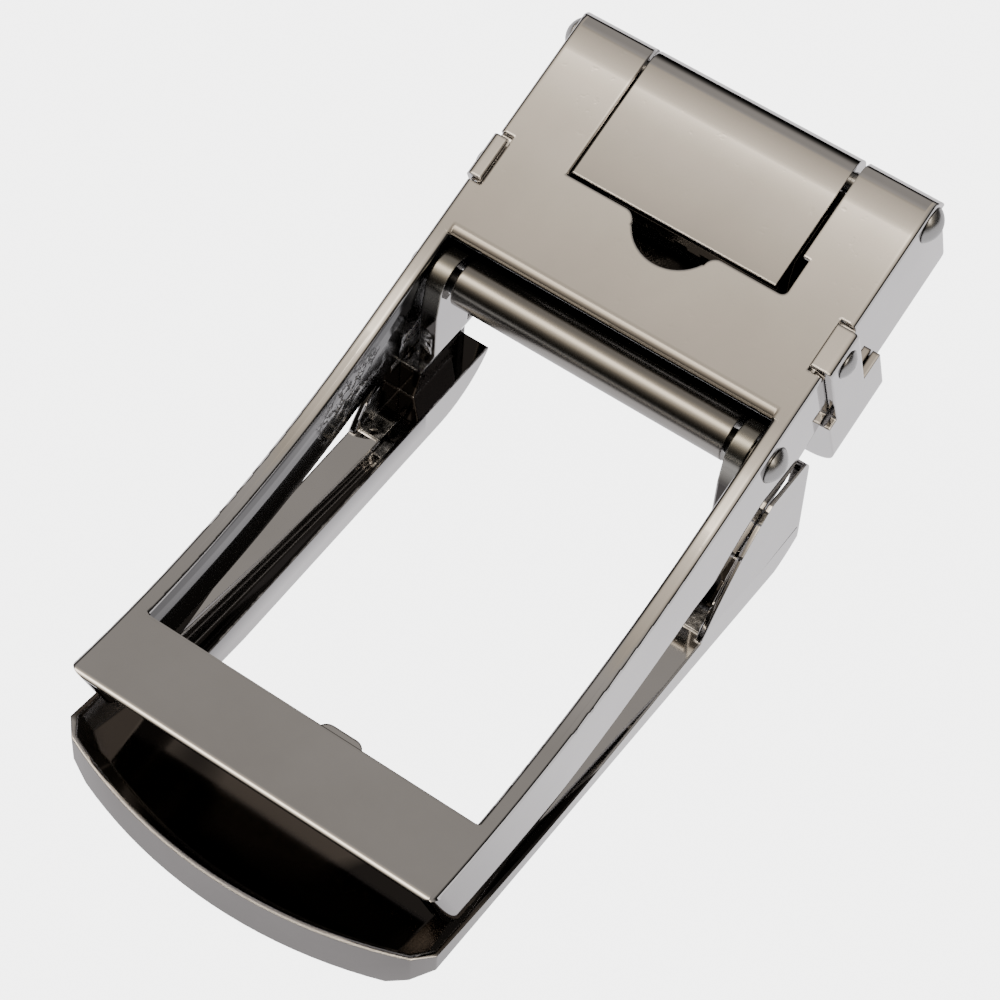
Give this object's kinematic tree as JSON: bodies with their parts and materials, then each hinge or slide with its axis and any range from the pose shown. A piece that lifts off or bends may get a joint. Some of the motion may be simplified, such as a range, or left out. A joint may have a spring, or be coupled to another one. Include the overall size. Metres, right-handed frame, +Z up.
{
  "type": "belt buckle",
  "caption": "Ratchet belt buckle in polished gunmetal, with clamp flap, tail keeper and hinged face frame, lying face down",
  "frame": {"origin": "centre of the bounding box, on the surface that the buckle rests on", "axes": "+X from the strap end to the rounded end, +Y across the buckle, +Z up"},
  "size_m": [0.0902, 0.0429, 0.0339],
  "materials": {
    "frame_metal": "polished gunmetal plating on cast zinc",
    "flap_metal": "polished gunmetal plating on cast zinc",
    "face_metal": "polished gunmetal plating on cast zinc",
    "keeper_metal": "polished gunmetal plating on bent sheet steel",
    "bar_metal": "polished gunmetal plating on steel",
    "pin_metal": "plated steel with domed heads"
  },
  "bodies": {
    "base": {"base_frame": "frame_metal", "end_pin": "pin_metal", "pivot_pin": "pin_metal", "keeper": "keeper_metal", "keeper_rivet_left": "pin_metal", "keeper_rivet_right": "pin_metal"},
    "flap": {"clamp_flap": "flap_metal"},
    "pawl": {"pawl_bar": "bar_metal"},
    "face": {"face_frame": "face_metal"}
  },
  "joints": [
    {"name": "flap_hinge", "type": "hinge", "parent": "base", "child": "flap", "pos_m": [-0.03955, 0, 0.03152], "axis": [0, -1, 0], "range_deg": [0, 110]},
    {"name": "face_hinge", "type": "hinge", "parent": "base", "child": "face", "pos_m": [-0.01417, 0, 0.02111], "axis": [0, 1, 0], "range_deg": [0, 15]},
    {"name": "pawl_hinge", "type": "hinge", "parent": "base", "child": "pawl", "pos_m": [-0.01417, 0, 0.02111], "axis": [0, -1, 0], "range_deg": [0, 12]}
  ]
}
